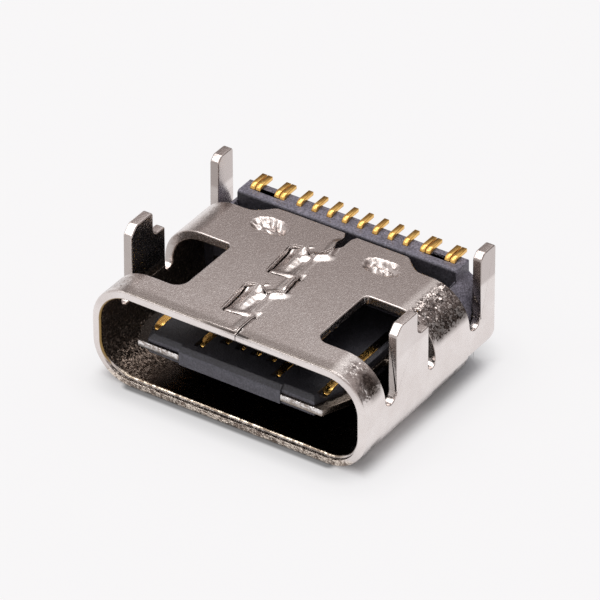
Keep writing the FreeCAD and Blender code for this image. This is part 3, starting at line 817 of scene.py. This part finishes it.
def coined_height(x, y):
    """How far locking the seam has moved the sheet at a place."""
    height = 0.0
    for front in TAB_FRONTS:
        across = x - SEAM_X
        along = y - front
        if in_outline(across, along, TAB_OUTLINE):
            height += pressed_height(across, along)
        height += max(ridge_height(across, along, *ridge) for ridge in TAB_RIDGES)
    return height


def coin_seam(work):
    """Presses the dovetail tabs in and curls the edges round them, as the locking punch leaves them."""
    for vert in work.verts:
        x, y, z = place_of(vert.co)
        if z > SHELL_HEIGHT - TOP_SKIN and inside_zone(SEAM_ZONE, x, y):
            vert.co.z += coined_height(x, y) * MM


def zone_on(side):
    """The dimple's zone on the right side, or mirrored on the left one."""
    (x0, y0), (x1, y1) = DIMPLE_ZONE
    return DIMPLE_ZONE if side > 0 else ((-x1, y0), (-x0, y1))


def dimple_depth(x, y, side):
    """Depth of a crumpled dimple at a place."""
    across = abs(x - DIMPLE_PLACE[0] * side) / DIMPLE_REACH[0]
    along = abs(y - DIMPLE_PLACE[1]) / DIMPLE_REACH[1]
    out = (across ** DIMPLE_POWER + along ** DIMPLE_POWER) ** (1 / DIMPLE_POWER)
    bowl = 1 - smooth_step(out, *DIMPLE_WALL)
    fold = abs(wave(x + y * FOLD_WIDTH / FOLD_LEAN, y, FOLD_WIDTH, FOLD_WIDTH, FOLD_SEED * side))
    crumple = WAVE_HEIGHT * wave(x, y, *DIMPLE_WAVE)
    return bowl * (DIMPLE_DEPTH - DIMPLE_FOLD * (1 - FOLD_GAIN * fold) + crumple)


def crumple_dimple(work, side):
    """Gives a dimple soft walls and a crumpled floor."""
    zone = zone_on(side)
    faces = zone_faces(work, zone, SHELL_HEIGHT - SHEET)
    for vert in {vert for face in faces for vert in face.verts}:
        x, y, z = place_of(vert.co)
        if inside_zone(zone, x, y):
            vert.co.z = (SHELL_HEIGHT - dimple_depth(x, y, side)) * MM


def step_low_fillet(work):
    """Sets the inner round of the mouth's lower lip back behind a narrow step."""
    for vert in work.verts:
        x, y, z = place_of(vert.co)
        near_skin = math.hypot(*into_bend(x, z)) < MOUTH_RADIUS + SILL_SKIN
        if SILL_DEPTHS[0] < y < SILL_DEPTHS[1] and near_skin:
            moved = SILL_STEP + y * (SILL_ROUND_SHARE - 1)
            vert.co.y += moved * (1 - smooth_step(z, *SILL_HEIGHTS)) * MM


def exact_normals(mesh):
    """Shades the tube as the true round it is, and all else by its broad faces."""
    normals = [Vector() for vert in mesh.vertices]
    for face in mesh.polygons:
        for index in face.vertices:
            normals[index] += face.normal * face.area
    for vert, normal in zip(mesh.vertices, normals):
        normal.normalize()
        x, y, z = place_of(vert.co)
        out_x, out_z = into_bend(x, z)
        layer = math.hypot(out_x, out_z)
        if abs(layer - MOUTH_RADIUS - SHEET) > TUBE_SLACK:
            continue
        true = Vector((math.copysign(out_x, x), 0.0, math.copysign(out_z, z - MIDDLE))) / layer
        if true.dot(normal) > math.cos(math.radians(TUBE_ANGLE)):
            normal.xyz = true
    mesh.normals_split_custom_set_from_vertices(normals)


def detailed_sheet():
    """The shell's mesh with broken edges, coined seam and crumpled dimples."""
    work = bmesh.new()
    work.from_mesh(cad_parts["shell"].data)
    bmesh.ops.remove_doubles(work, verts=work.verts, dist=JOIN)
    flat = math.radians(FLAT_ANGLE)
    bmesh.ops.dissolve_limit(work, angle_limit=flat, verts=work.verts, edges=work.edges)
    break_edges(work)
    step_low_fillet(work)
    cut_grid(work, SEAM_ZONE, SHELL_HEIGHT - TOP_SKIN)
    coin_seam(work)
    for side in (1, -1):
        cut_grid(work, zone_on(side), SHELL_HEIGHT - SHEET)
        crumple_dimple(work, side)
    for vert in work.verts:
        vert.co.x = max(-SIDE_OUTER, min(SIDE_OUTER, vert.co.x / MM)) * MM
        vert.co.y = max(MOUTH_Y * MM, vert.co.y)
    mesh = bpy.data.meshes.new("folded_shell")
    work.to_mesh(mesh)
    work.free()
    return mesh


def folded_shell(finish):
    """The detailed shell, in place of the plain one."""
    mesh = detailed_sheet()
    if "custom_normal" in mesh.attributes:
        mesh.attributes.remove(mesh.attributes["custom_normal"])
    mesh.shade_smooth()
    exact_normals(mesh)
    mesh.materials.clear()
    mesh.materials.append(finish)
    piece = bpy.data.objects.new("folded_shell", mesh)
    bpy.context.scene.collection.objects.link(piece)
    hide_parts("shell")
    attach(piece, "root")


def soften_edges(piece, width):
    """Makes flat faces whole and breaks each sharp edge by a small round."""
    weld = piece.modifiers.new("join", "WELD")
    weld.merge_threshold = JOIN
    flatten = piece.modifiers.new("flat_faces", "DECIMATE")
    flatten.decimate_type = "DISSOLVE"
    flatten.angle_limit = math.radians(FLAT_ANGLE)
    bevel = piece.modifiers.new("edges", "BEVEL")
    bevel.width = width * MM
    bevel.segments = 2
    bevel.limit_method = "ANGLE"
    bevel.angle_limit = math.radians(SHARP_ANGLE)
    bevel.use_clamp_overlap = False
    bevel.miter_outer = "MITER_ARC"
    piece.modifiers.new("even_normals", "WEIGHTED_NORMAL")


def dress():
    """Gives each node its material, rounds its edges, and puts the detailed shell in."""
    nickel = shell_nickel()
    plate = plate_nickel()
    housing = moulded_plastic("housing_plastic", HOUSING_TONES, HOUSING_FRONT_PAINTED_SHADE)
    # The tongue's plastic: the same plastic as the housing, painted darker as shade
    shaded_tongue_plastic = moulded_plastic("tongue_plastic", TONGUE_PAINTED_SHADE_TONES, TONGUE_FRONT_PAINTED_LIGHT)
    gold = contact_gold()
    looks = {
        "shell": (nickel, None),
        "mid_plate": (plate, INNER_EDGE),
        "housing": (housing, HOUSING_EDGE),
        "upper_insert": (shaded_tongue_plastic, INNER_EDGE),
        "lower_insert": (shaded_tongue_plastic, INNER_EDGE),
    }
    for name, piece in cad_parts.items():
        finish, width = looks.get(name, (gold, CONTACT_EDGE))
        piece.data.materials[0] = finish
        if width is not None:
            soften_edges(piece, width)
    folded_shell(nickel)


add_camera()
add_world()
add_floor()
add_lamps()
dress()
bpy.context.scene.view_settings.view_transform = "Standard"

bpy.context.view_layer.update()
